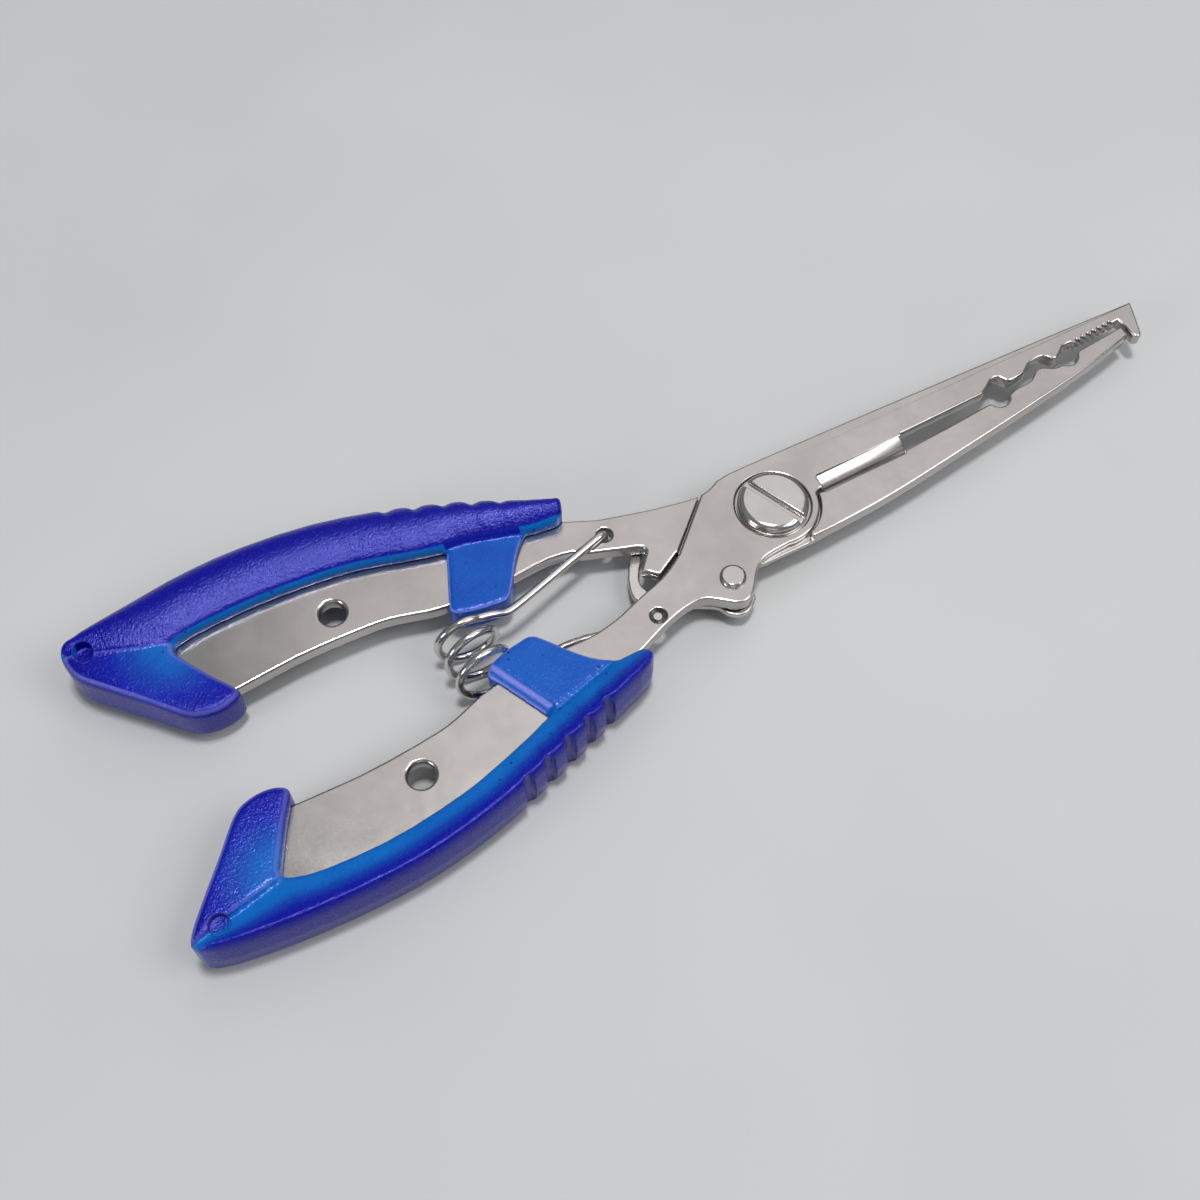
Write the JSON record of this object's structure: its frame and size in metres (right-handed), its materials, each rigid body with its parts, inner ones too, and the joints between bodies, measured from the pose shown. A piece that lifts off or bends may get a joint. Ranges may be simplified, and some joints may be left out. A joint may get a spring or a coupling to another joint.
{
  "type": "fishing pliers",
  "caption": "Split-ring fishing pliers: crossed stamped steel levers with side cutter and crimp notches, slotted pivot screw, translucent blue moulded grips, return spring and lock latch",
  "frame": {"origin": "on the pivot axis, at the end face of the pivot screw, under its nut", "axes": "+X from the pivot to the jaw tips, +Y towards the palm handle, +Z to the face that shows the screw slot"},
  "size_m": [0.168, 0.0561, 0.0094],
  "materials": {
    "lever_steel": "satin stainless sheet with bright tumbled edges",
    "fastener_steel": "polished stainless steel",
    "spring_wire": "bright drawn spring wire",
    "latch_steel": "satin stamped sheet",
    "grip_plastic": "translucent deep blue, fine sparkle texture, lighter where thin"
  },
  "bodies": {
    "finger_lever": {"upper_jaw_lever": "lever_steel", "finger_grip": "grip_plastic", "pivot_screw": "fastener_steel", "pivot_washer": "fastener_steel", "pivot_nut": "fastener_steel", "return_spring": "spring_wire", "latch_washer": "fastener_steel", "latch_rivet": "fastener_steel"},
    "palm_lever": {"lower_jaw_lever": "lever_steel", "palm_grip": "grip_plastic"},
    "latch": {"lock_latch": "latch_steel"}
  },
  "joints": [
    {"name": "jaw_opening", "type": "hinge", "parent": "finger_lever", "child": "palm_lever", "pos_m": [0, 0, 0], "axis": [0, 0, -1], "range_deg": [-0.9, 22], "deforming": ["return_spring"]},
    {"name": "latch_release", "type": "hinge", "parent": "finger_lever", "child": "latch", "pos_m": [-0.0116, -0.0076, 0], "axis": [0, 0, 1], "range_deg": [0, 14]}
  ]
}
